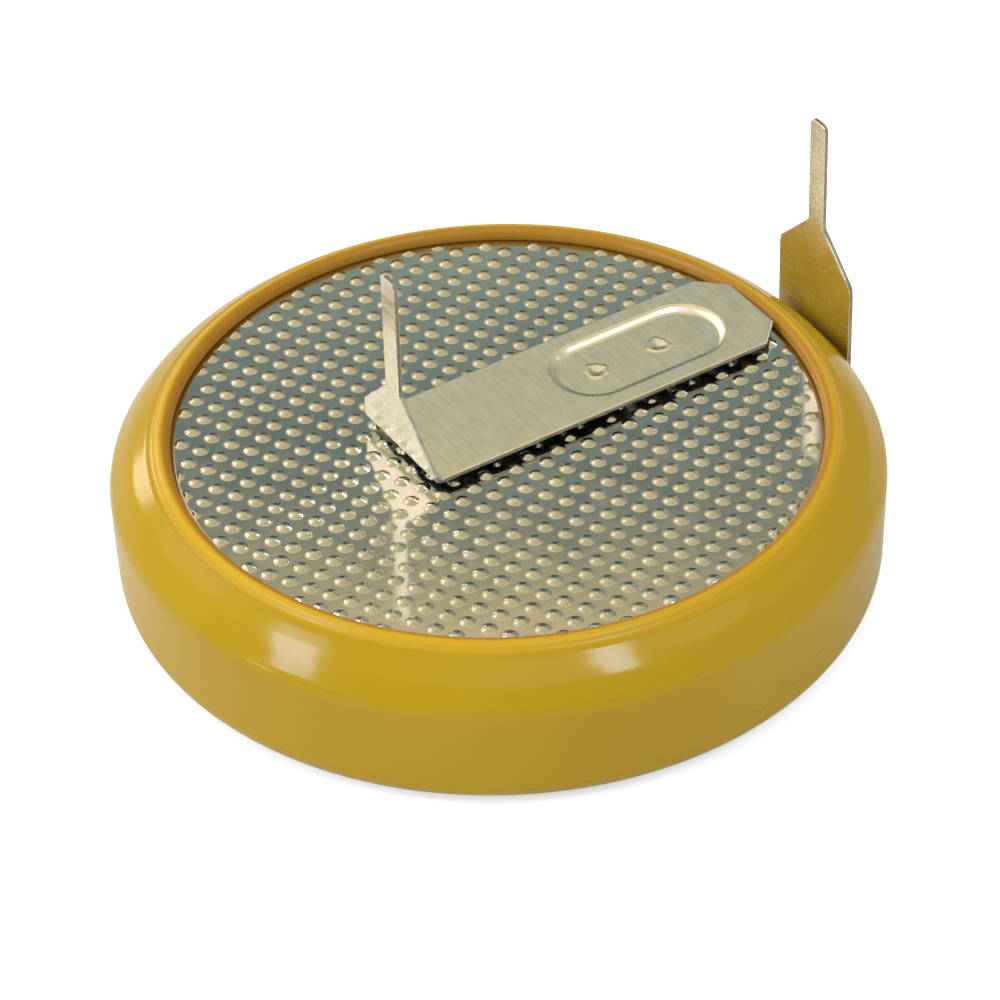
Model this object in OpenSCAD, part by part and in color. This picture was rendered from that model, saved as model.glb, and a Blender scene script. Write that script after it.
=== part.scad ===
// Tabbed lithium coin cell with its negative face up, lying on its positive solder tab.
// Millimetres. The origin is on the cell's axis, on the plane that the part rests on.
// +Z is the cell's axis. +X runs along both tabs, towards the positive pin.

/* [Cell] */
// Outside diameter of the positive can
cell_d = 24.5; // [23:0.5:30]
// Height of the bare cell, from the can's base to the tops of the cap's dimples
cell_h = 4.8; // [4.6:0.1:7.7]
// Thickness of the steel that the can and the cap are drawn from
steel_t = 0.25; // [0.2:0.01:0.28]
// Outside radius of the can's lower corner
can_corner_r = 0.65; // [0.55:0.05:0.9]
// Depth of the crease, where the can's wall starts to lean in, below the cap's face
crimp_drop = 1.2; // [1.1:0.05:1.4]
// Reach of the crimped rim from the can's wall inwards
crimp_reach = 1.1; // [1:0.05:1.2]
// Lean of the crimped rim's lower half from upright
crimp_low_lean = 39; // [35:1:44]
// Lean of the crimped rim's upper half from upright
crimp_high_lean = 54; // [50:1:60]

/* [Negative cap] */
// Distance from the can's wall in to the side of the cap's face
cap_inset = 1.75; // [1.7:0.05:3.2]
// Outside radius of the edge of the cap's face
cap_edge_r = 0.35; // [0.3:0.05:0.5]
// Height of the cap's face over its flange
cap_step = 0.85; // [0.75:0.05:1]
// Height of the hem that is folded up outside the cap's skirt
hem_h = 1.9; // [1:0.1:2.1]
// Spacing of the dimples in the cap's face
dimple_pitch = 0.72; // [0.68:0.01:1]
// Diameter of one dimple at the face
dimple_d = 0.46; // [0.36:0.02:0.48]
// Height of one dimple
dimple_h = 0.12; // [0.07:0.01:0.13]
// Turn of the rows of dimples from the line of the tabs
dimple_turn = 29; // [0:1:90]

/* [Inside] */
// Thickness of the gasket's wall, between the can and the cap's hem
gasket_t = 0.38; // [0.3:0.02:0.45]
// Thickness of the gasket's foot, under the hem
foot_t = 0.45; // [0.3:0.05:0.6]
// Thickness of the gasket's inner upstand
upstand_t = 0.35; // [0.25:0.05:0.5]
// Height of the gasket's inner upstand over its foot
upstand_h = 0.9; // [0.4:0.1:1.4]
// Room round the lithium disc, inside the cap's face
anode_play = 0.7; // [0.5:0.05:2]
// Thickness of the lithium disc
anode_t = 1.25; // [0.8:0.05:1.5]
// Thickness of the separator
separator_t = 0.12; // [0.05:0.01:0.2]
// Height of the separator's rim, round the lithium disc
separator_rim = 0.9; // [0.3:0.1:1]
// Room between the collector ring and the gasket's inner upstand
ring_play = 0.74; // [0.54:0.02:1.7]
// Thickness of the collector ring
ring_t = 0.15; // [0.1:0.01:0.2]
// Height of the collector ring
ring_h = 1.6; // [1:0.1:1.8]
// Width of the collector ring's flange, under the pellet
ring_flange = 1.8; // [1:0.1:3]

/* [Sleeve] */
// Thickness of the shrink film
film_t = 0.12; // [0.08:0.01:0.14]
// Radius of the film's rolled edge, round the cap
bead_r = 0.28; // [0.22:0.01:0.3]
// Height of the rolled edge over the cap's face
bead_rise = 0.39; // [0.36:0.01:0.42]
// Width of the film's fold under the can
fold_w = 1.9; // [1.2:0.1:2.5]

/* [Tabs] */
// Thickness of the tabs
tab_t = 0.15; // [0.12:0.01:0.2]
// Inside radius of the tabs' bends
tab_bend_r = 0.15; // [0.12:0.01:0.3]
// Chamfer at the corners of the tabs' welded ends
tab_chamfer = 0.85; // [0.5:0.05:1.2]
// Length of the pressed weld pads
pad_l = 6.35; // [5:0.05:6.6]
// Width of the pressed weld pads
pad_w = 3; // [2.4:0.1:3.1]
// Depth that the weld pads are pressed to, which holds the tabs off the cell
pad_h = 0.16; // [0.14:0.01:0.25]
// Width of the weld pads' sloping wall
pad_slope = 0.32; // [0.25:0.01:0.4]
// Distance between the two spot welds in a pad
weld_gap = 2.4; // [1.8:0.1:3]
// Diameter of one spot weld
weld_d = 0.6; // [0.4:0.05:0.8]
// Depth of one spot weld
weld_depth = 0.05; // [0.03:0.01:0.07]

/* [Negative tab] */
// Width of the negative tab
neg_w = 4.15; // [3.6:0.05:4.6]
// Distance from the cell's axis to the outside of the negative blade
neg_blade_x = 3.3; // [2:0.1:5]
// Gap between the side of the cap's face and the negative tab's end
neg_end_gap = 0.3; // [0.3:0.05:0.8]
// Distance from the negative pad's middle to that of its two welds, towards the blade
neg_weld_shift = 0.4; // [0:0.05:0.6]
// Length of the negative tab past its weld pad
neg_tail = 1.3; // [1.1:0.05:2.5]
// Sideways place of the negative tab's middle
neg_y = 0.5; // [-0.5:0.05:0.55]
// Offset of the negative pin from its tab's middle
neg_pin_y = 0.3; // [-0.3:0.05:0.35]

/* [Positive tab] */
// Width of the positive tab
pos_w = 3.85; // [3.6:0.05:4.6]
// Gap between the sleeve and the positive blade
blade_gap = 0.1; // [0.05:0.01:0.4]
// Distance from the cell's axis to the middle of the positive weld pad
pos_pad_x = 3.9; // [3.6:0.1:5]
// Length of the positive tab past its weld pad
pos_tail = 1.9; // [1.2:0.1:3]
// Sideways place of the positive tab's middle
pos_y = 0.15; // [-0.5:0.05:0.5]

/* [Pins] */
// Width of the pins
pin_w = 0.78; // [0.6:0.02:1]
// Height of both pins' tips over the cap's face
tip_rise = 6.78; // [5:0.01:8]
// Radius of the corners at the pins' tips
pin_tip_r = 0.24; // [0.1:0.01:0.28]
// Height of the negative pin's root over the cap's face
neg_root_rise = 2.53; // [2:0.01:3.5]
// Height of the positive pin's root over the cap's face
pos_root_rise = 2.83; // [2:0.01:3.5]
// Slope of the blades' shoulders from level
shoulder_angle = 45; // [30:1:50]

/* [Hidden] */
$fn = 64;
// Largest angle between the chords of a bend
bend_step = 7.5;
// Gap inside the fold of the cap's hem
hem_gap = 0.03;
// Play between the separator's rim and the lithium disc
rim_play = 0.08;
// Spine radius of the bends on the two sides of the crimp
crease_bend_r = 0.5;
brow_bend_r = 2;
// Spine radius of the bends beside a pressed pad
pad_bend_r = 0.15;
// Inside radii of the bends at the foot of the cap's face and at the outside of its flange
flange_bend_r = 0.1;
skirt_bend_r = 0.15;
// Play that keeps apart the two bends of the hem
bend_play = 0.001;
// Depth that the dimples are rooted in the face's sheet
dimple_root = 0.08;
// Draft of the dimples' sides, as run over rise
dimple_draft = 1;
// Run of the film past the can's rim before it bends to its rolled edge
film_lead = 0.06;
// Distance that the rolled edge reaches in over the rounded edge of the cap's face
bead_lap = 0.16;
// Flat that a weld pad carries round its sloping wall
pad_margin = 0.1;
// Lap of that flat, and of a blade, with the tab's sheet
tab_lap = 0.02;

// Levels, from the plane that the part rests on
base_z = tab_t + pad_h;
floor_z = base_z + steel_t;
face_z = base_z + cell_h - dimple_h;
roof_z = face_z - steel_t;
separator_z = roof_z - anode_t - separator_t;
hem_z = floor_z + foot_t;
bead_z = face_z + bead_rise - bead_r;
neg_z = face_z + dimple_h + pad_h;
tip_z = face_z + tip_rise;

// Radii and thicknesses that follow from the sizes above
half_t = steel_t / 2;
can_r = cell_d / 2;
film_r = can_r + film_t;
riser_r = can_r - cap_inset;
hem_r = can_r - steel_t - gasket_t;
skirt_r = hem_r - 2 * steel_t - hem_gap;
flat_r = riser_r - cap_edge_r;
bead_x = riser_r + bead_r - bead_lap;
anode_r = riser_r - steel_t - anode_play;
ring_r = skirt_r - upstand_t - ring_play;

// Unit vector along a heading, the one to its left, and the heading from one point to another
function unit(a) = [cos(a), sin(a)];
function left(a) = [-sin(a), cos(a)];
function heading(p, q) = atan2(q[1] - p[1], q[0] - p[0]);

// Turn from heading a to heading b, positive to the left
function turn(a, b) = let (d = b - a) d > 180 ? d - 360 : d < -180 ? d + 360 : d;

// Points of a bend at p from heading a to heading b, on the line that lies d to the left of a spine of radius r
function bend(p, a, b, r, d) =
    let (t = turn(a, b), s = sign(t), steps = ceil(abs(t) / bend_step),
         centre = p - unit(a) * r * tan(abs(t) / 2) + left(a) * s * r)
    [for (i = [0:steps]) centre - left(a + t * i / steps) * s * (r - s * d)];

// Headings of the straight runs between points
function headings(p) = [for (i = [0:len(p) - 2]) heading(p[i], p[i + 1])];

// The line that lies d to the left of a spine through the points p, bent at the inner ones to radii r
function side(p, r, d) =
    let (n = len(p) - 1, h = headings(p))
    [
        p[0] + left(h[0]) * d,
        for (i = [1:n - 1]) each bend(p[i], h[i - 1], h[i], r[i - 1], d),
        p[n] + left(h[n - 1]) * d
    ];

// A spine's points moved d to its left, so that the bent spines stay parallel
function shifted(p, d) =
    let (n = len(p) - 1, h = headings(p))
    [
        p[0] + left(h[0]) * d,
        for (i = [1:n - 1])
            let (t = turn(h[i - 1], h[i]))
            p[i] + left(h[i - 1] + t / 2) * d / cos(t / 2),
        p[n] + left(h[n - 1]) * d
    ];

function reversed(v) = [for (i = [len(v) - 1:-1:0]) v[i]];

// Section of a folded sheet of thickness t along a spine
module sheet(p, r, t) {
    polygon(concat(side(p, r, -t / 2), reversed(side(p, r, t / 2))));
}

// Spine of the can's sheet, from the axis out, up the wall and in along the crimped rim
wall_x = can_r - half_t;
half_reach = crimp_reach / 2;
crease_z = face_z - crimp_drop;
brow_z = crease_z + half_reach / tan(crimp_low_lean);
can_spine = [
    [0, base_z + half_t],
    [wall_x, base_z + half_t],
    [wall_x, crease_z],
    [wall_x - half_reach, brow_z],
    [wall_x - crimp_reach, brow_z + half_reach / tan(crimp_high_lean)]
];
can_bends = [can_corner_r - half_t, crease_bend_r, brow_bend_r];

// Spine of the cap's sheet, from its face's flat down to the flange, the skirt and the hem
flange_z = face_z - cap_step - half_t;
skirt_x = skirt_r + half_t;
fold_x = hem_r - half_t;
fold_z = hem_z + half_t;
cap_spine = [
    [0, face_z - half_t],
    [riser_r - half_t, face_z - half_t],
    [riser_r - half_t, flange_z],
    [skirt_x, flange_z],
    [skirt_x, fold_z],
    [fold_x, fold_z],
    [fold_x, fold_z + hem_h]
];
fold_bend_r = (fold_x - skirt_x) / 2 - bend_play;
cap_bends = [
    cap_edge_r - half_t, flange_bend_r + half_t, skirt_bend_r + half_t, fold_bend_r, fold_bend_r
];

// Drawn steel cup, the positive pole, with its rim crimped over the gasket
module positive_can() {
    color("silver")
        rotate_extrude()
            sheet(can_spine, can_bends, steel_t);
}

// Round dimple with sloping sides, raised from z = 0
module dimple() {
    foot_r = dimple_d / 2 + dimple_root * dimple_draft;
    top_r = dimple_d / 2 - dimple_h * dimple_draft;
    translate([0, 0, -dimple_root]) cylinder(h = dimple_root + dimple_h, r1 = foot_r, r2 = top_r, $fn = 24);
}

// Drawn steel cup, the negative pole, with a dimpled face, a stepped flange and a hemmed skirt
module negative_cap() {
    reach = flat_r - dimple_d / 2;
    n = floor(reach / dimple_pitch) + 1;
    color("gainsboro") {
        rotate_extrude() sheet(cap_spine, cap_bends, steel_t);
        rotate(dimple_turn)
            for (i = [-n:n], j = [-n:n])
                if (norm([i, j]) * dimple_pitch < reach)
                    translate([i * dimple_pitch, j * dimple_pitch, face_z]) dimple();
    }
}

// Moulded ring that seals the cap in the can, squeezed to fill the room between them
module gasket() {
    inner_x = skirt_r - upstand_t;
    can_side = side(can_spine, can_bends, half_t);
    color("ivory")
        rotate_extrude()
            difference() {
                polygon(concat(
                    [[inner_x, floor_z]],
                    [for (i = [1:len(can_side) - 1]) can_side[i]],
                    [
                        [bead_x + bead_r, bead_z - bead_r],
                        [riser_r, bead_z - bead_r],
                        [riser_r, flange_z],
                        [skirt_x, flange_z],
                        [skirt_x, hem_z + upstand_h],
                        [inner_x, hem_z + upstand_h]
                    ]
                ));
                sheet(cap_spine, cap_bends, steel_t);
                translate([skirt_x, fold_z]) square([fold_x - skirt_x, hem_h]);
            }
}

// Stainless ring that holds the pellet together and carries its current to the can
module cathode_ring() {
    color("darkgray")
        translate([0, 0, floor_z])
            rotate_extrude() {
                translate([ring_r - ring_t, 0]) square([ring_t, ring_h]);
                translate([ring_r - ring_flange, 0]) square([ring_flange, ring_t]);
            }
}

// Pressed cathode mix, notched round its foot for the ring's flange
module cathode_pellet() {
    pellet_r = ring_r - ring_t;
    color("dimgray")
        rotate_extrude()
            polygon([
                [0, floor_z],
                [ring_r - ring_flange, floor_z],
                [ring_r - ring_flange, floor_z + ring_t],
                [pellet_r, floor_z + ring_t],
                [pellet_r, separator_z],
                [0, separator_z]
            ]);
}

// Felt disc between the electrodes, with its rim turned up round the lithium
module separator() {
    rim_x = anode_r + rim_play;
    color("whitesmoke")
        translate([0, 0, separator_z])
            rotate_extrude() {
                square([rim_x + separator_t, separator_t]);
                translate([rim_x, 0]) square([separator_t, separator_t + separator_rim]);
            }
}

// Lithium disc, pressed against the inside of the cap
module lithium_anode() {
    color("lightsteelblue")
        translate([0, 0, roof_z - anode_t]) cylinder(r = anode_r, h = anode_t);
}

// Insulating film shrunk over the can, folded under its base and rolled at the edge round the cap
module shrink_sleeve() {
    out = half_t + film_t / 2;
    over_can = shifted(can_spine, -out);
    n = len(over_can) - 1;
    spine = concat(
        [[can_r - fold_w, over_can[0][1]]],
        [for (i = [1:n - 1]) over_can[i]],
        [over_can[n] + unit(heading(over_can[n - 1], over_can[n])) * film_lead],
        [[bead_x, bead_z + bead_r / 3]]
    );
    bends = concat([for (r = can_bends) r + out], [bead_r]);
    color("gold")
        rotate_extrude() {
            sheet(spine, bends, film_t);
            translate([bead_x, bead_z]) circle(bead_r);
        }
}

// Outline of a weld pad, grown by a margin
module pad_outline(margin) {
    run = pad_l - pad_w;
    square([run, pad_w + 2 * margin], center = true);
    for (s = [-1, 1]) translate([s * run / 2, 0]) circle(d = pad_w + 2 * margin);
}

// Half of a pressed pad's section, from its middle out; way is 1 for a pad pressed up and -1 for one pressed down
module pad_section(way) {
    flat_z = tab_t / 2;
    pad_z = flat_z + way * pad_h;
    sheet([[0, pad_z], [pad_w / 2 - pad_slope, pad_z], [pad_w / 2, flat_z], [pad_w / 2 + pad_margin, flat_z]],
          [pad_bend_r, pad_bend_r], tab_t);
}

// Oval weld pad, pressed out of a tab's sheet, with the dents of its spot welds on the open side
module weld_pad(way, weld_x) {
    run = pad_l - pad_w;
    ball_r = (pow(weld_d / 2, 2) + pow(weld_depth, 2)) / (2 * weld_depth);
    open_z = tab_t / 2 + way * (pad_h - tab_t / 2);
    difference() {
        union() {
            for (s = [-1, 1])
                translate([s * run / 2, 0, 0])
                    rotate(-s * 90)
                        rotate_extrude(angle = 180) pad_section(way);
            rotate([90, 0, 90])
                linear_extrude(run, center = true) {
                    pad_section(way);
                    mirror([1, 0]) pad_section(way);
                }
        }
        for (s = [-1, 1])
            translate([weld_x + s * weld_gap / 2, 0, open_z + way * (weld_depth - ball_r)])
                sphere(ball_r);
    }
}

// Pin of length l with rounded corners at its tip, standing on the origin
module pin_outline(l) {
    translate([-pin_w / 2, 0]) square([pin_w, l - pin_tip_r]);
    translate([pin_tip_r - pin_w / 2, 0]) square([pin_w - 2 * pin_tip_r, l]);
    for (s = [-1, 1])
        translate([s * (pin_w / 2 - pin_tip_r), l - pin_tip_r]) circle(pin_tip_r);
}

// Outline of a blade's upper part, over the level low_z: side edges, sloping shoulders from the pin's
// root at root_z, and the pin up to end_z
module blade_outline(w, low_z, root_z, end_z, pin_y) {
    drop = root_z - low_z;
    spread = drop / tan(shoulder_angle);
    intersection() {
        translate([-w / 2, low_z]) square([w, drop]);
        translate([pin_y, root_z])
            polygon([
                [-pin_w / 2, 0], [pin_w / 2, 0],
                [pin_w / 2 + spread, -drop], [-pin_w / 2 - spread, -drop]
            ]);
    }
    translate([pin_y, root_z]) pin_outline(end_z - root_z);
}

// Tab of width w, bent from one stamped sheet. Its blade stands on x = 0, and its strip runs along +X at z = 0.
module solder_tab(w, l, pad_x, way, weld_shift, root_z, end_z, pin_y) {
    low_z = tab_t + tab_bend_r;
    leg_z = low_z + tab_lap;
    corner = tab_chamfer * sqrt(2);
    difference() {
        rotate([90, 0, 0])
            linear_extrude(w, center = true)
                sheet([[l, tab_t / 2], [tab_t / 2, tab_t / 2], [tab_t / 2, leg_z]], [tab_bend_r + tab_t / 2], tab_t);
        for (s = [-1, 1])
            translate([l, s * w / 2, 0]) rotate(45) cube([corner, corner, 3 * tab_t], center = true);
        translate([pad_x, 0, -tab_t]) linear_extrude(3 * tab_t) pad_outline(pad_margin - tab_lap);
    }
    translate([pad_x, 0, 0]) weld_pad(way, -weld_shift);
    rotate([90, 0, 90]) linear_extrude(tab_t) blade_outline(w, low_z, root_z, end_z, pin_y);
}

// Tab welded under the can, whose blade rises beside the sleeve
module positive_tab() {
    blade_x = film_r + blade_gap + tab_t;
    pad_x = blade_x - pos_pad_x;
    color("darkkhaki")
        translate([blade_x, pos_y, 0])
            rotate(180)
                solder_tab(pos_w, pad_x + pad_l / 2 + pos_tail, pad_x, 1, 0, face_z + pos_root_rise, tip_z, 0);
}

// Tab welded onto the cap, whose blade rises over the cell
module negative_tab() {
    tab_l = neg_blade_x + riser_r - neg_end_gap;
    pad_x = tab_l - neg_tail - pad_l / 2;
    color("tan")
        translate([-neg_blade_x, neg_y, neg_z])
            solder_tab(neg_w, tab_l, pad_x, -1, neg_weld_shift,
                       face_z + neg_root_rise - neg_z, tip_z - neg_z, neg_pin_y);
}

positive_can();
cathode_ring();
cathode_pellet();
separator();
lithium_anode();
gasket();
negative_cap();
shrink_sleeve();
positive_tab();
negative_tab();
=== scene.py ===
"""Looks, light and camera for the tabbed lithium coin cell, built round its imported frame."""

import math

import bmesh
import bpy
import numpy as np
from mathutils import Matrix, Quaternion, Vector
from mathutils.geometry import delaunay_2d_cdt

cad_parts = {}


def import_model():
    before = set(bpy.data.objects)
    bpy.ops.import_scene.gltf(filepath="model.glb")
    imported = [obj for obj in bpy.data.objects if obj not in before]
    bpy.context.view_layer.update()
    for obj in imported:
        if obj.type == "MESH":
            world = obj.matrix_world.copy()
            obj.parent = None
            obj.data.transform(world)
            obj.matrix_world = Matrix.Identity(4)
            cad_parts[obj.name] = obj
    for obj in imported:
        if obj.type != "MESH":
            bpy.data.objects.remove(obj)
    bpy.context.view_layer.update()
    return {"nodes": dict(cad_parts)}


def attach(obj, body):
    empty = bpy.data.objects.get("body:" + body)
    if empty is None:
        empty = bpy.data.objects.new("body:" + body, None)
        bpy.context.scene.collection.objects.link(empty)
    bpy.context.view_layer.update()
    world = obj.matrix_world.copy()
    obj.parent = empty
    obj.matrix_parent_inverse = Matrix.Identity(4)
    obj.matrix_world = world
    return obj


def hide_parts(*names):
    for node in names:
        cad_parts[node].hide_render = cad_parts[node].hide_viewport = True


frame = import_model()

MM = 0.001
rng = np.random.default_rng(2450)

# All lengths are in millimetres

# Can: levels, radii and the bends of its base, shoulder and crimp
BASE_Z = 0.31
FACE_Z = 4.99
STEEL_T = 0.25
CAN_R = 12.25
CAN_BENDS = (0.525, 0.5, 2)
CRIMP_DROP = 1.2
CRIMP_REACH = 1.1
CRIMP_LEANS = (math.radians(39), math.radians(54))

# Cap: its face, its step down to the flange, and the hem of its skirt
CAP_R = 10.5
CAP_EDGE_R = 0.28
CAP_STEP = 0.85
FLANGE_R = 0.1
SKIRT_R = 0.15
HEM_R = 11.62
HEM_GAP = 0.03
HEM_Z = 1.01
HEM_H = 1.9
HEM_SLACK = 0.001

# Dimples of the cap's face: their grid, one dome, and its rings as (radius, points)
DIMPLE_PITCH = 0.72
DIMPLE_TURN = math.radians(29)
DIMPLE_REACH = 10.25
DIMPLE_FADE = 0.1
DIMPLE_CLEAR = 0.02
DIMPLE_H = 0.095
DIMPLE_LEAST = 0.93
DIMPLE_FOOT_R = 0.262
DIMPLE_SOFT = 1.35
DIMPLE_RINGS = [
    (0.03, 6), (0.07, 12), (0.11, 14), (0.15, 14), (0.185, 14), (0.22, 14), (0.245, 14), (0.266, 14),
    (0.286, 14),
]

# Film: its sheet and fold, the bead that is its rolled edge, its shrink waves and its creases
FILM_T = 0.12
FOLD_W = 1.9
BEAD_R = 0.28
BEAD_RISE = 0.39
BEAD_LAP = 0.16
BEAD_CLEAR = 0.05
BEAD_LEAD = 0.25
BEAD_POINTS = 30
FILM_LEAD = 0.06
WAVES = (2, 3, 5, 8, 13)
WAVE_DEPTH = 0.012
WAVE_LEAN = 0.6
WAVE_FROM_R = 11.2
CREASE_W = 0.07

# Tabs: sheet, pressed pad with its wall from inside to outside of the pad's edge, welds whose
# edge has lobes of (count, depth, turn), pin and sheared edge
TAB_T = 0.15
TAB_BEND_R = 0.15
CHAMFER = 0.85
PAD_L = 6.35
PAD_W = 3.0
PAD_H = 0.16
PAD_WALL = (-0.27, 0.02)
WELD_GAP = 2.4
WELD_R = 0.3
WELD_PIT_R = 0.15
WELD_DEPTH = 0.06
WELD_BROW_W = 0.06
WELD_BROW_H = 0.02
WELD_LOBES = ((3, 0.10, 1), (7, 0.06, 2))
PIN_W = 0.78
PIN_TIP_R = 0.24
TIP_Z = 11.77
SHEAR_ROLL = 0.022
SHEAR_BURR = 0.012

# Meshes: steps round the cell, edges that stay sharp, and spacing of points on lines and sheets
RING_STEPS = 320
SHARP_DEG = 60
TAB_SHARP_DEG = 50
SHARP_R = 0.0001
BEND_STEP = 0.06
CAP_BEND_STEPS = (0.12, 0.2)
FILM_STEPS = (0.1, 0.4)
CHAMFER_STEP = 0.08
TAIL_STEP = 0.1
PAD_STEP = 0.04
PAD_MARGIN = 0.15
SHEET_STEP = 0.14
SHEET_COLUMNS = 96
BEND_ROWS = 12
SHOULDER_ROWS = 26
TIP_ROWS = 10
EDGE_POINTS = (0, 0.01, 0.03)
MERGE = 1e-6
INSIDE_ONLY = 1

# Materials: where a noise's low and high patches begin, and the radii between which the film's
# colour darkens with painted shade where its shoulder meets the bead, turns into its bead's, and
# ends in painted shade on the bead's inner edge
PATCHES = (0.3, 0.7)
FILM_SHOULDER_SHADE = (11.35, 11.0)
FILM_BEAD = (11.05, 10.85)
FILM_INNER_SHADE = (10.68, 10.56)

# Studio: the floor, and the room's own colour and its zones (azimuth, elevation, inner and outer
# angle in degrees, colour). The zones lie over each other in this order.
FLOOR_REACH = 900
FLOOR_GLOW = 0.60
ROOM_COLOUR = (0.37, 0.335, 0.26)
ROOM = [
    (0, 90, 25, 60, (0.66, 0.59, 0.34)),
    (58, 30, 20, 65, (0.56, 0.52, 0.40)),
    (-28, 62, 12, 28, (1.15, 1.05, 1.0)),
    (-140, 36, 35, 70, (0.88, 0.76, 0.44)),
    (-150, 40, 9, 20, (1.75, 1.48, 1.24)),
    (-169, 17, 6, 10, (7.0, 6.3, 5.1)),
    (-99, 8, 2, 6, (5.0, 4.6, 4.0)),
    (100, 63, 8, 20, (0.78, 0.69, 0.42)),
    (46, 51, 6, 13, (1.45, 1.35, 1.25)),
    (148, 50.2, 9.4, 10.6, (1.05, 0.80, 0.44)),
    (148, 20, 19.5, 20.2, (0.16, 0.225, 0.215)),
    (148, 20, 14.8, 18.4, (0.38, 0.47, 0.40)),
    (148, 14, 10, 15, (0.07, 0.09, 0.09)),
]
LAMP_DISTANCE = 420
LAMP_AIM_Z = 3

# Camera: its place, its angles in radians and its lens
CAMERA_AT = (-59.16, -95.27, 92.46)
CAMERA_AZIMUTH = math.radians(31.85)
CAMERA_ELEVATION = 0.677906
CAMERA_ROLL = -0.031528
LENS = 161.85
SENSOR_W = 36


def unit(a):
    """Unit vector at angle a."""
    return np.array([math.cos(a), math.sin(a)])


def left(a):
    """Unit vector to the left of angle a."""
    return np.array([-math.sin(a), math.cos(a)])


def smooth(t):
    """A soft step from 0 to 1."""
    t = np.clip(t, 0, 1)
    return t * t * (3 - 2 * t)


def offset_path(points, radii, d, step=BEND_STEP):
    """Points of the line that lies d to the left of a path whose inner corners are bent to radii."""
    p = [np.array(q, float) for q in points]
    h = [math.atan2(b[1] - a[1], b[0] - a[0]) for a, b in zip(p, p[1:])]
    line = [p[0] + left(h[0]) * d]
    for i, r in enumerate(radii, 1):
        turn = (h[i] - h[i - 1] + math.pi) % (2 * math.pi) - math.pi
        side = math.copysign(1, turn)
        centre = p[i] - unit(h[i - 1]) * r * math.tan(abs(turn) / 2) + left(h[i - 1]) * side * r
        n = max(3, math.ceil(abs(turn) * (r + abs(d)) / step))
        bends = [h[i - 1] + turn * k / n for k in range(n + 1)]
        line += [centre - left(a) * side * (r - side * d) for a in bends]
    line.append(p[-1] + left(h[-1]) * d)
    return line


def resampled(points, step):
    """The same line with extra points, so that none are further apart than step."""
    line = [points[0]]
    for a, b in zip(points, points[1:]):
        n = max(1, math.ceil(np.linalg.norm(np.subtract(b, a)) / step))
        line += [np.add(a, np.subtract(b, a) * k / n) for k in range(1, n + 1)]
    return np.array(line)


def new_mesh(name, verts, faces, sharp_deg=None, edge_faces=0):
    """An object from vertices in millimetres and faces, smooth but for edges sharper than sharp_deg.
    Its last edge_faces faces take the second material."""
    mesh = bpy.data.meshes.new(name)
    mesh.from_pydata((np.asarray(verts, float) * MM).tolist(), [], faces)
    second = np.arange(len(faces)) >= len(faces) - edge_faces
    mesh.polygons.foreach_set("material_index", second.astype(np.int32))
    mesh.shade_smooth()
    if sharp_deg:
        mesh.set_sharp_from_angle(angle=math.radians(sharp_deg))
    obj = bpy.data.objects.new(name, mesh)
    bpy.context.scene.collection.objects.link(obj)
    return obj


def clean_mesh(obj):
    """Deletes vertices that no face uses, and turns all faces outwards."""
    bm = bmesh.new()
    bm.from_mesh(obj.data)
    bmesh.ops.delete(bm, geom=[v for v in bm.verts if not v.link_faces], context="VERTS")
    bmesh.ops.recalc_face_normals(bm, faces=bm.faces)
    bm.to_mesh(obj.data)
    bm.free()


def revolve(profile, steps, closed):
    """Vertices and faces of a profile of (radius, height) points turned round the Z axis."""
    p = np.asarray(profile, float)
    m = len(p)
    a = np.linspace(0, 2 * math.pi, steps, endpoint=False)
    x, y = np.outer(np.cos(a), p[:, 0]), np.outer(np.sin(a), p[:, 0])
    verts = np.stack([x, y, np.broadcast_to(p[:, 1], x.shape)], -1).reshape(-1, 3)
    faces = []
    for i in range(steps):
        row, after = i * m, (i + 1) % steps * m
        for j in range(m if closed else m - 1):
            k = (j + 1) % m
            faces.append((row + j, after + j, after + k, row + k))
    return verts, faces


def can_spine():
    """Middle line of the can's sheet, from the centre of its base to the end of its crimp."""
    wall_x = CAN_R - STEEL_T / 2
    half = CRIMP_REACH / 2
    crease_z = FACE_Z - CRIMP_DROP
    brow_z = crease_z + half / math.tan(CRIMP_LEANS[0])
    return [
        (0, BASE_Z + STEEL_T / 2), (wall_x, BASE_Z + STEEL_T / 2), (wall_x, crease_z),
        (wall_x - half, brow_z), (wall_x - CRIMP_REACH, brow_z + half / math.tan(CRIMP_LEANS[1])),
    ]


def film_profile():
    """Closed section of the film: under the can, up its wall, over the crimp and round the bead."""
    gap = (STEEL_T + FILM_T) / 2
    corners = offset_path(can_spine(), [SHARP_R] * 3, -gap, 1)
    # Each corner between the ends is four points in one place
    over = [corners[0], *corners[2:-1:4], corners[-1]]
    rim_h = math.atan2(over[4][1] - over[3][1], over[4][0] - over[3][0])
    bead = np.array([CAP_R + BEAD_R - BEAD_LAP, FACE_Z + BEAD_RISE - BEAD_R])
    spine = [
        (CAN_R - FOLD_W, over[0][1]), over[1], over[2], over[3],
        over[4] + unit(rim_h) * FILM_LEAD, bead + np.array([0, BEAD_R / 3]),
    ]
    bends = [r + gap for r in CAN_BENDS] + [BEAD_R]
    outer = resampled(offset_path(spine, bends, -FILM_T / 2), FILM_STEPS[0])
    inner = resampled(offset_path(spine, bends, FILM_T / 2), FILM_STEPS[1])
    outside = [q for q in outer if np.linalg.norm(q - bead) > BEAD_R + BEAD_CLEAR]
    under = [q for q in inner if np.linalg.norm(q - bead) > BEAD_R]
    start = math.atan2(*(outside[-1] - bead)[::-1]) + BEAD_LEAD
    end = math.atan2(*(under[-1] - bead)[::-1]) + 2 * math.pi
    roll = [bead + BEAD_R * unit(a) for a in np.linspace(start, end, BEAD_POINTS)]
    return np.array(outside + roll + under[::-1])


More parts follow.
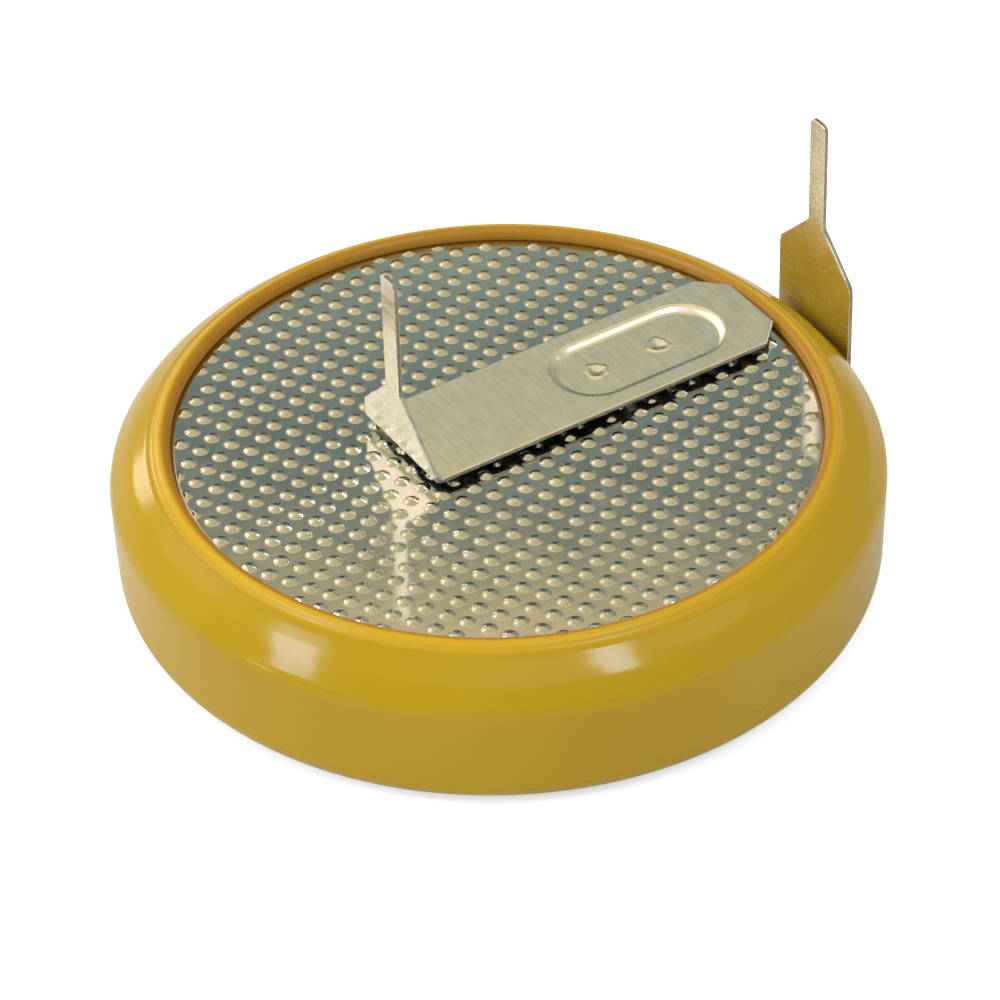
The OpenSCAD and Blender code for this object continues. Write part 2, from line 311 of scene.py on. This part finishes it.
def shrink_waves(verts):
    """How far the shrunk film lies inwards of its true circle: long shallow waves."""
    a = np.arctan2(verts[:, 1], verts[:, 0])
    wave = np.zeros(len(verts))
    for turns in WAVES:
        wave += np.sin(turns * a + rng.uniform(0, 6.28) + WAVE_LEAN * verts[:, 2]) / turns
    return WAVE_DEPTH * (1 + wave / 2)


def film_sleeve():
    """The film as one closed skin, whose wall is slightly uneven."""
    verts, faces = revolve(film_profile(), RING_STEPS, True)
    r = np.hypot(verts[:, 0], verts[:, 1])
    shrink = 1 - shrink_waves(verts) * np.clip(r - WAVE_FROM_R, 0, 1) / r
    verts[:, :2] *= shrink[:, None]
    return new_mesh("film_sleeve", verts, faces, SHARP_DEG)


def dome_points(middle, height, radius):
    """The points of one dome that lie within a face of that radius, each with its height."""
    for r, count in DIMPLE_RINGS:
        dome = max(0, 1 - (r / DIMPLE_FOOT_R) ** 2) ** DIMPLE_SOFT
        for k in range(count):
            point = middle + r * unit(2 * math.pi * (k + 0.5) / count)
            inset = radius - np.linalg.norm(point)
            if inset > DIMPLE_CLEAR:
                yield point, height * dome * smooth(inset / DIMPLE_FADE)


def dimpled_face(radius):
    """Vertices and faces of the cap's round face, with a ring of RING_STEPS points as its edge."""
    flat = [radius * unit(2 * math.pi * k / RING_STEPS) for k in range(RING_STEPS)]
    heights = [0.0] * RING_STEPS
    turn = np.array([unit(DIMPLE_TURN), left(DIMPLE_TURN)]).T
    n = math.ceil(DIMPLE_REACH / DIMPLE_PITCH)
    grid = [(i, j) for i in range(-n, n + 1) for j in range(-n, n + 1)]
    for cell in grid:
        if math.hypot(*cell) * DIMPLE_PITCH > DIMPLE_REACH:
            continue
        middle = turn @ np.array(cell) * DIMPLE_PITCH
        height = DIMPLE_H * rng.uniform(DIMPLE_LEAST, 1.0)
        for point, rise in dome_points(middle, height, radius):
            flat.append(point)
            heights.append(rise)
    verts, _, tris, origins, _, _ = delaunay_2d_cdt(
        [Vector(q) for q in flat], [], [list(range(RING_STEPS))], INSIDE_ONLY, MERGE
    )
    z = [FACE_Z + heights[o[0]] for o in origins]
    return np.array([(v.x, v.y, h) for v, h in zip(verts, z)]), [tuple(t) for t in tris]


def cap_shell():
    """The whole cap: dimpled face, rounded edge, wall, flange, skirt and hem, and its plain inside."""
    half = STEEL_T / 2
    skirt_x = HEM_R - 2 * STEEL_T - HEM_GAP + half
    fold_x = HEM_R - half
    fold_z = HEM_Z + half
    flange_z = FACE_Z - CAP_STEP - half
    spine = [
        (0, FACE_Z - half), (CAP_R - half, FACE_Z - half), (CAP_R - half, flange_z),
        (skirt_x, flange_z), (skirt_x, fold_z), (fold_x, fold_z), (fold_x, fold_z + HEM_H),
    ]
    fold_r = (fold_x - skirt_x) / 2 - HEM_SLACK
    bends = [CAP_EDGE_R - half, FLANGE_R + half, SKIRT_R + half, fold_r, fold_r]
    outside = offset_path(spine, bends, half, CAP_BEND_STEPS[0])[1:]
    inside = offset_path(spine, bends, -half, CAP_BEND_STEPS[1])[1:]
    verts, faces = revolve(outside + inside[::-1], RING_STEPS, False)
    m = len(outside) + len(inside)
    roof = [i * m + m - 1 for i in range(RING_STEPS)]
    faces.append(tuple(roof))
    top, tris = dimpled_face(CAP_R - CAP_EDGE_R)
    start = len(verts)
    at = {tuple(np.round(verts[i * m, :2], 4)): i * m for i in range(RING_STEPS)}
    place = [at.get(tuple(np.round(v[:2], 4)), start + k) for k, v in enumerate(top)]
    faces += [tuple(place[k] for k in t) for t in tris]
    obj = new_mesh("cap_shell", np.vstack([verts, top]), faces, SHARP_DEG)
    clean_mesh(obj)
    return obj


def tab_rows(length, base, w, y, root_z, pin_y, tail):
    """Stations along an unrolled tab, from its welded end to its pin's tip, with both its edges."""
    bend_r = TAB_BEND_R + TAB_T / 2
    straight = length - TAB_T / 2 - bend_r
    arc = bend_r * math.pi / 2
    lift = base + TAB_T / 2 + bend_r - straight - arc
    root, tip = root_z - lift, TIP_Z - lift
    pad_from, pad_to = tail - PAD_MARGIN, tail + PAD_L + PAD_MARGIN
    s = np.concatenate([
        EDGE_POINTS, np.arange(CHAMFER_STEP, CHAMFER, CHAMFER_STEP), [CHAMFER],
        np.arange(CHAMFER + TAIL_STEP, pad_from, TAIL_STEP), np.arange(pad_from, pad_to, PAD_STEP),
        np.arange(pad_to, straight, SHEET_STEP), straight + np.linspace(0, arc, BEND_ROWS),
        np.linspace(straight + arc + 0.05, root, SHOULDER_ROWS),
        np.linspace(root + 0.01, root + 0.1, 3),
        np.arange(root + 0.2, tip - PIN_TIP_R, SHEET_STEP),
        tip - PIN_TIP_R + PIN_TIP_R * np.sin(np.linspace(0, math.pi / 2, TIP_ROWS)),
    ])
    s = np.unique(np.round(s, 5))
    half = np.where(s < CHAMFER, w / 2 - CHAMFER + s, w / 2)
    low, high = y - half, y + half
    blade = s > straight + arc
    over = np.clip(s - (tip - PIN_TIP_R), 0, PIN_TIP_R)
    pin_half = PIN_W / 2 + (np.sqrt(PIN_TIP_R**2 - over**2) - PIN_TIP_R)
    spread = pin_half + np.clip(root - s, 0, None)
    low = np.where(blade, np.maximum(low, y + pin_y - spread), low)
    high = np.where(blade, np.minimum(high, y + pin_y + spread), high)
    return s, low, high, straight, arc, bend_r


def sheet_grid(s, low, high):
    """Points (along, across) of an unrolled sheet, and how many rows and columns they make.
    They lie closer at both edges, but in no more than a fifth of the width."""
    width = (high - low)[:, None]
    near = np.minimum(np.array(EDGE_POINTS)[None, :], width * 0.2)
    inner = np.linspace(0, 1, SHEET_COLUMNS)[1:-1]
    across = low[:, None] + np.hstack([
        near, near[:, -1:] + (width - 2 * near[:, -1:]) * inner[None, :], width - near[:, ::-1],
    ])
    along = np.broadcast_to(s[:, None], across.shape)
    return np.stack([along, across], -1).reshape(-1, 2), across.shape


def sheet_faces(rows, cols):
    """Faces of a closed sheet of rows by cols points a side, and how many of the last are its rim."""
    n = rows * cols
    faces = []
    for i in range(rows - 1):
        for j in range(cols - 1):
            a, b = i * cols + j, (i + 1) * cols + j
            faces.append((a, b, b + 1, a + 1))
            faces.append((n + a, n + a + 1, n + b + 1, n + b))
    ring = [i * cols for i in range(rows)] + [(rows - 1) * cols + j for j in range(1, cols)]
    ring += [i * cols + cols - 1 for i in range(rows - 2, -1, -1)] + list(range(cols - 2, 0, -1))
    for a, b in zip(ring, ring[1:] + ring[:1]):
        faces.append((a, n + a, n + b, b))
    return faces, len(ring)


def edge_distance(points, outline):
    """Distance of each point from a closed outline."""
    best = np.full(len(points), np.inf)
    for a, b in zip(outline, np.roll(outline, -1, axis=0)):
        ab = b - a
        if math.hypot(*ab) < MERGE:
            continue
        t = np.clip(((points - a) @ ab) / (ab @ ab), 0, 1)
        best = np.minimum(best, np.linalg.norm(points - a - t[:, None] * ab, axis=1))
    return best


def rolled(d, r):
    """How far a face has sunk at distance d from an edge that is rounded to r."""
    k = np.clip(r - d, 0, r)
    return r - np.sqrt(r * r - k * k)


def pressed_pad(flat, middle, y, press):
    """Height of the sheet where the oval pad is pressed, and half its upright thickness."""
    run = (PAD_L - PAD_W) / 2
    wall_w = PAD_WALL[1] - PAD_WALL[0]
    q = np.hypot(np.clip(np.abs(flat[:, 0] - middle) - run, 0, None), flat[:, 1] - y)
    wall = (PAD_W / 2 + PAD_WALL[1] - q) / wall_w
    slope = np.where((wall > 0) & (wall < 1), PAD_H / wall_w * 6 * wall * (1 - wall), 0)
    return press * PAD_H * smooth(wall), TAB_T / 2 * np.sqrt(1 + slope**2)


def weld_dents(flat, middle, y):
    """Depth of the pad's two weld marks: ragged pits, each with a low brow round it."""
    dent = np.zeros(len(flat))
    for side in (-1, 1):
        along, across = flat[:, 0] - middle - side * WELD_GAP / 2, flat[:, 1] - y
        spot = np.arctan2(across, along)
        lobes = sum(deep * np.sin(n * spot + turn * side) for n, deep, turn in WELD_LOBES)
        ragged = np.hypot(along, across) * (1 + lobes)
        dent += WELD_DEPTH * np.exp(-((ragged / WELD_PIT_R) ** 2))
        dent -= WELD_BROW_H * np.exp(-(((ragged - WELD_R) / WELD_BROW_W) ** 2))
    return dent


def solder_tab(name, end_x, way, base, length, w, y, tail, press, weld_shift, root_z, pin_y):
    """A tab as one bent sheet: welded end at end_x, running way along X, with its weld pad pressed."""
    s, low, high, straight, arc, bend_r = tab_rows(length, base, w, y, root_z, pin_y, tail)
    flat, (rows, cols) = sheet_grid(s, low, high)
    outline = np.vstack([np.stack([s, low], 1), np.stack([s, high], 1)[::-1]])
    d = edge_distance(flat, outline)
    pad_s = tail + PAD_L / 2
    height, thick = pressed_pad(flat, pad_s, y, press)
    dent = weld_dents(flat, pad_s + weld_shift, y)
    upper = height + thick - rolled(d, SHEAR_ROLL) - (dent if press < 0 else 0)
    lower = height - thick + rolled(d, SHEAR_BURR) + (dent if press > 0 else 0)

    turn = np.clip((flat[:, 0] - straight) / arc, 0, 1) * math.pi / 2
    reach = np.minimum(flat[:, 0], straight) + bend_r * np.sin(turn)
    rise = TAB_T / 2 + bend_r * (1 - np.cos(turn)) + np.clip(flat[:, 0] - straight - arc, 0, None)

    def bent(h):
        x = end_x + way * (reach - h * np.sin(turn))
        return np.stack([x, flat[:, 1], base + rise + h * np.cos(turn)], 1)

    faces, edge_faces = sheet_faces(rows, cols)
    obj = new_mesh(name, np.vstack([bent(upper), bent(lower)]), faces, TAB_SHARP_DEG, edge_faces)
    clean_mesh(obj)
    return obj


def mixed(tree, fac, a, b):
    """The colour socket of a mix of a and b, each a socket or a colour."""
    node = tree.nodes.new("ShaderNodeMix")
    node.data_type = "RGBA"
    for key, value in (("Factor", fac), ("A", a), ("B", b)):
        socket = [q for q in node.inputs if q.name == key and q.enabled][0]
        if isinstance(value, bpy.types.NodeSocket):
            tree.links.new(value, socket)
        else:
            socket.default_value = (*value, 1)
    return [q for q in node.outputs if q.enabled][0]


class Shader:
    """A material's node tree, with short calls for the nodes that it needs."""

    def __init__(self, name, **sockets):
        self.material = bpy.data.materials.new(name)
        self.material.use_nodes = True
        self.tree = self.material.node_tree
        self.surface = self.tree.nodes["Principled BSDF"]
        for key, value in sockets.items():
            self.set(key, value)

    def set(self, key, value):
        socket = next(s for s in self.surface.inputs if s.name.lower() == key.lower())
        if isinstance(value, bpy.types.NodeSocket):
            self.tree.links.new(value, socket)
        else:
            socket.default_value = value

    def node(self, kind, inputs=(), **settings):
        node = self.tree.nodes.new(kind)
        for key, value in settings.items():
            setattr(node, key, value)
        for key, value in dict(inputs).items():
            if isinstance(value, bpy.types.NodeSocket):
                self.tree.links.new(value, node.inputs[key])
            else:
                node.inputs[key].default_value = value
        return node

    def where(self):
        return self.node("ShaderNodeTexCoord").outputs["Object"]

    def place(self, scale=(1, 1, 1)):
        """Coordinates of the surface in metres, stretched by scale."""
        inputs = {"Vector": self.where(), "Scale": scale}
        return self.node("ShaderNodeMapping", inputs).outputs["Vector"]

    def axes(self):
        """The surface's x, y and z in metres."""
        return list(self.node("ShaderNodeSeparateXYZ", {"Vector": self.where()}).outputs)

    def radius(self):
        """Distance from the cell's axis in metres."""
        level = self.place((1, 1, 0))
        return self.node("ShaderNodeVectorMath", {0: level}, operation="LENGTH").outputs["Value"]

    def noise(self, scale, detail=4.0, stretch=(1, 1, 1)):
        inputs = {"Vector": self.place(stretch), "Scale": scale, "Detail": detail}
        return self.node("ShaderNodeTexNoise", inputs).outputs["Fac"]

    def tint(self, scale, detail, low, high):
        """A colour that goes from low to high in soft patches."""
        node = self.node("ShaderNodeValToRGB", {"Fac": self.noise(scale, detail)})
        for element, at, colour in zip(node.color_ramp.elements, PATCHES, (low, high)):
            element.position = at
            element.color = (*colour, 1)
        return node.outputs["Color"]

    def span(self, value, low, high, to_low=0.0, to_high=1.0):
        """The value's span from low to high, brought to the span from to_low to to_high."""
        inputs = {"Value": value, "From Min": low, "From Max": high}
        inputs |= {"To Min": to_low, "To Max": to_high}
        return self.node("ShaderNodeMapRange", inputs).outputs["Result"]

    def varied(self, noise, low, high):
        """A value that goes from low to high with a noise's patches."""
        return self.span(noise, *PATCHES, low, high)

    def mix(self, fac, a, b):
        return mixed(self.tree, fac, a, b)

    def math(self, operation, *values):
        node = self.node("ShaderNodeMath", dict(enumerate(values)), operation=operation)
        return node.outputs["Value"]

    def bump(self, value, distance, strength=1.0):
        inputs = {"Height": value, "Distance": distance, "Strength": strength}
        self.set("Normal", self.node("ShaderNodeBump", inputs).outputs["Normal"])


def crease(m, middle, reach, wave, turns, phase, slope):
    """A fine wavy crease of the film at the front, round the point (x, z) middle, as a 0 to 1 mask for
    its dent and its painted shade.
    """
    x, y, z = m.axes()
    aside = m.math("SUBTRACT", x, middle[0] * MM)
    ripple = m.math("SINE", m.math("MULTIPLY_ADD", aside, turns / MM, phase))
    line = m.math("MULTIPLY_ADD", ripple, wave * MM, middle[1] * MM)
    line = m.math("MULTIPLY_ADD", aside, slope, line)
    near = m.span(m.math("ABSOLUTE", m.math("SUBTRACT", z, line)), 0, CREASE_W * MM, 1, 0)
    ends = m.span(m.math("ABSOLUTE", aside), 0.7 * reach * MM, reach * MM, 1, 0)
    front = m.span(y, -2 * MM, -3 * MM)
    return m.math("MULTIPLY", m.math("MULTIPLY", near, ends), front)


def film_material():
    """Glossy yellow film, deeper in colour and duller at its bead, with painted shade round the bead
    and in two creases.
    """
    m = Shader("film", ior=1.5)
    m.set("Specular IOR Level", 0.3)
    body = m.tint(90, 3, (0.480, 0.300, 0.007), (0.520, 0.326, 0.009))
    lip = m.tint(160, 2, (0.61, 0.355, 0.009), (0.67, 0.392, 0.011))
    radius = m.radius()
    deep, beaded, inner = [
        m.span(radius, start * MM, end * MM) for start, end in (FILM_SHOULDER_SHADE, FILM_BEAD, FILM_INNER_SHADE)
    ]
    # Painted shade: the film's colour darkens on the shoulder where it meets the bead
    edge = m.mix(m.math("MULTIPLY", deep, 0.5), body, (0.48, 0.270, 0.007))
    # Painted shade: the bead's inner edge turns dark brown-orange
    colour = m.mix(beaded, edge, m.mix(inner, lip, (0.44, 0.20, 0.014)))
    long_crease = crease(m, (2.1, 1.5), 1.4, 0.32, 3.1, 0.2, -0.15)
    short_crease = crease(m, (4.3, 1.85), 0.4, 0.05, 4.0, 0.0, -0.35)
    creases_and_shade = m.math("MAXIMUM", long_crease, short_crease)
    # Painted shade: the film's colour is darkened along its creases
    m.set("Base Color", m.mix(m.math("MULTIPLY", creases_and_shade, 0.35), colour, (0.33, 0.20, 0.012)))
    m.set("Roughness", m.span(beaded, 0, 1, 0.12, 0.36))
    grain = m.noise(900, 3, (1, 1, 0.35))
    m.bump(m.math("SUBTRACT", m.math("MULTIPLY", grain, 0.5), creases_and_shade), 0.012 * MM, 0.6)
    return m.material


def cap_material():
    m = Shader("cap_steel", metallic=1.0)
    m.set("Base Color", m.tint(400, 4, (0.56, 0.57, 0.54), (0.66, 0.66, 0.62)))
    m.set("Roughness", m.varied(m.noise(900, 4), 0.08, 0.12))
    m.bump(m.noise(1500, 4), 0.003 * MM, 0.4)
    return m.material


def tab_material():
    """Nickel-plated strip with a fine grain across it."""
    m = Shader("tab_steel", metallic=1.0)
    m.set("Base Color", m.tint(1500, 6, (0.80, 0.78, 0.70), (0.90, 0.89, 0.82)))
    brushed = m.noise(9000, 3, (1, 0.08, 1))
    m.set("Roughness", m.varied(brushed, 0.19, 0.30))
    m.bump(brushed, 0.0025 * MM, 0.5)
    return m.material


def sheared_and_shaded_material():
    """The tabs' sheared edges, dull and torn, their colour darkened further as painted shade."""
    m = Shader("sheared_steel_and_shade", metallic=1.0)
    # Partly painted shade: the dark colour stands for the dull torn steel and also for the shade along
    # the tabs' edges
    m.set("Base Color", m.tint(2500, 4, (0.30, 0.26, 0.20), (0.48, 0.43, 0.35)))
    torn = m.noise(4000, 5)
    m.set("Roughness", m.varied(torn, 0.4, 0.6))
    m.bump(torn, 0.01 * MM, 0.6)
    return m.material


def can_material():
    m = Shader("can_steel", metallic=1.0)
    m.set("Base Color", m.tint(300, 5, (0.58, 0.58, 0.57), (0.66, 0.66, 0.64)))
    m.set("Roughness", m.varied(m.noise(1200, 5), 0.18, 0.30))
    m.bump(m.noise(1800, 4), 0.005 * MM, 0.4)
    return m.material


def plain_material(name, low, high, roughness, scale, metallic=0.0):
    """A material for a hidden piece: two colours in patches, and a light grain."""
    m = Shader(name, roughness=roughness, metallic=metallic)
    m.set("Base Color", m.tint(scale, 5, low, high))
    m.bump(m.noise(scale * 2, 5), 0.02 * MM, 0.5)
    return m.material


def give(obj, *materials):
    """Puts materials on an object and keeps which faces take the second."""
    kept = np.zeros(len(obj.data.polygons), np.int32)
    obj.data.polygons.foreach_get("material_index", kept)
    obj.data.materials.clear()
    for material in materials:
        obj.data.materials.append(material)
    obj.data.polygons.foreach_set("material_index", np.minimum(kept, len(materials) - 1))


def stand_for(obj, node, slot, *materials):
    """Dresses a new piece, fixes it to the cell and puts it in the place of a solid."""
    give(obj, *materials)
    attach(obj, "root")
    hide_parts(node)


def floor():
    """A wide pale floor that keeps the cell's shadow and is white to the camera."""
    r = FLOOR_REACH
    obj = new_mesh("floor", [(-r, -r, 0), (r, -r, 0), (r, r, 0), (-r, r, 0)], [(0, 1, 2, 3)])
    m = Shader("floor", roughness=0.9)
    m.set("Specular IOR Level", 0.0)
    m.set("Base Color", m.tint(12, 2, (0.80, 0.80, 0.80), (0.82, 0.82, 0.82)))
    seen = m.node("ShaderNodeLightPath").outputs["Is Camera Ray"]
    m.set("Emission Color", (0.86, 0.92, 1.0, 1))
    m.set("Emission Strength", m.span(seen, 0, 1, 0, FLOOR_GLOW))
    give(obj, m.material)


def bearing(azimuth, elevation):
    """Unit vector towards a direction round the cell: azimuth 0 is in front, at -Y, and 90 is at +X."""
    a, e = math.radians(azimuth), math.radians(elevation)
    return Vector((math.sin(a) * math.cos(e), -math.cos(a) * math.cos(e), math.sin(e)))


def world():
    """A room of soft-edged zones round the cell. The camera itself sees plain white."""
    w = bpy.data.worlds.new("studio")
    bpy.context.scene.world = w
    w.use_nodes = True
    nodes, links = w.node_tree.nodes, w.node_tree.links
    where = nodes.new("ShaderNodeTexCoord").outputs["Generated"]
    colour = ROOM_COLOUR
    for azimuth, elevation, inner, outer, zone_colour in ROOM:
        facing = nodes.new("ShaderNodeVectorMath")
        facing.operation = "DOT_PRODUCT"
        links.new(where, facing.inputs[0])
        facing.inputs[1].default_value = bearing(azimuth, elevation)
        zone = nodes.new("ShaderNodeMapRange")
        zone.interpolation_type = "SMOOTHSTEP"
        links.new(facing.outputs["Value"], zone.inputs["Value"])
        zone.inputs["From Min"].default_value = math.cos(math.radians(outer))
        zone.inputs["From Max"].default_value = math.cos(math.radians(inner))
        colour = mixed(w.node_tree, zone.outputs["Result"], colour, zone_colour)
    seen = nodes.new("ShaderNodeLightPath").outputs["Is Camera Ray"]
    links.new(mixed(w.node_tree, seen, colour, (1, 1, 1)), nodes["Background"].inputs["Color"])


def softbox(name, azimuth, elevation, lean, size, power, colour):
    """An area lamp of size (width, height) that faces the cell, leaning over by lean degrees."""
    data = bpy.data.lights.new(name, "AREA")
    data.shape = "RECTANGLE"
    data.size, data.size_y = size[0] * MM, size[1] * MM
    data.energy = power
    data.color = colour
    obj = bpy.data.objects.new(name, data)
    bpy.context.scene.collection.objects.link(obj)
    back = bearing(azimuth, elevation)
    obj.location = back * LAMP_DISTANCE * MM + Vector((0, 0, LAMP_AIM_Z * MM))
    obj.rotation_mode = "QUATERNION"
    upright = (-back).to_track_quat("-Z", "Y")
    obj.rotation_quaternion = upright @ Quaternion((0, 0, 1), math.radians(lean))


def camera():
    """The photograph's camera: seen from the front left, 39 degrees above the table."""
    level = math.cos(CAMERA_ELEVATION)
    look = Vector((math.sin(CAMERA_AZIMUTH) * level, math.cos(CAMERA_AZIMUTH) * level,
                   -math.sin(CAMERA_ELEVATION)))
    right = Vector((math.cos(CAMERA_AZIMUTH), -math.sin(CAMERA_AZIMUTH), 0))
    up = right.cross(look)
    x = right * math.cos(CAMERA_ROLL) + up * math.sin(CAMERA_ROLL)
    y = up * math.cos(CAMERA_ROLL) - right * math.sin(CAMERA_ROLL)
    data = bpy.data.cameras.new("camera")
    data.lens = LENS
    data.sensor_width = SENSOR_W
    data.clip_start, data.clip_end = 0.005, 10
    obj = bpy.data.objects.new("camera", data)
    bpy.context.scene.collection.objects.link(obj)
    basis = Matrix((x, y, -look)).transposed().to_4x4()
    basis.translation = Vector(CAMERA_AT) * MM
    obj.matrix_world = basis
    bpy.context.scene.camera = obj


tab_finish = tab_material(), sheared_and_shaded_material()
stand_for(film_sleeve(), "shrink_sleeve", "sleeve_film", film_material())
stand_for(cap_shell(), "negative_cap", "cap_steel", cap_material())
negative = solder_tab(
    "negative_solder_tab", end_x=10.2, way=-1, base=5.27, length=13.5, w=4.15, y=0.5, tail=1.3,
    press=-1, weld_shift=0.4, root_z=7.52, pin_y=0.3,
)
stand_for(negative, "negative_tab", "tab_steel", *tab_finish)
positive = solder_tab(
    "positive_solder_tab", end_x=-1.175, way=1, base=0.0, length=13.795, w=3.85, y=0.15, tail=1.9,
    press=1, weld_shift=0.0, root_z=7.82, pin_y=0.0,
)
stand_for(positive, "positive_tab", "tab_steel", *tab_finish)

nodes = frame["nodes"]
give(nodes["positive_can"], can_material())
for node, name, low, high, roughness, scale, metallic in (
    ("cathode_ring", "ring_steel", (0.5, 0.5, 0.5), (0.6, 0.6, 0.59), 0.35, 900, 1.0),
    ("cathode_pellet", "cathode_mix", (0.02, 0.02, 0.02), (0.05, 0.05, 0.05), 0.9, 2500, 0.0),
    ("separator", "felt", (0.78, 0.77, 0.73), (0.9, 0.89, 0.86), 0.95, 3000, 0.0),
    ("lithium_anode", "lithium", (0.55, 0.56, 0.58), (0.7, 0.71, 0.72), 0.45, 1200, 1.0),
    ("gasket", "gasket_plastic", (0.72, 0.7, 0.62), (0.8, 0.78, 0.7), 0.5, 1500, 0.0),
):
    give(nodes[node], plain_material(name, low, high, roughness, scale, metallic))

floor()
world()
softbox("key", -98, 37.5, 26, (84, 215), 0.71, (0.59, 0.77, 1.0))
softbox("front", 9, 54, -14, (54, 200), 0.43, (0.60, 0.80, 1.0))
camera()
bpy.context.scene.view_settings.view_transform = "Standard"
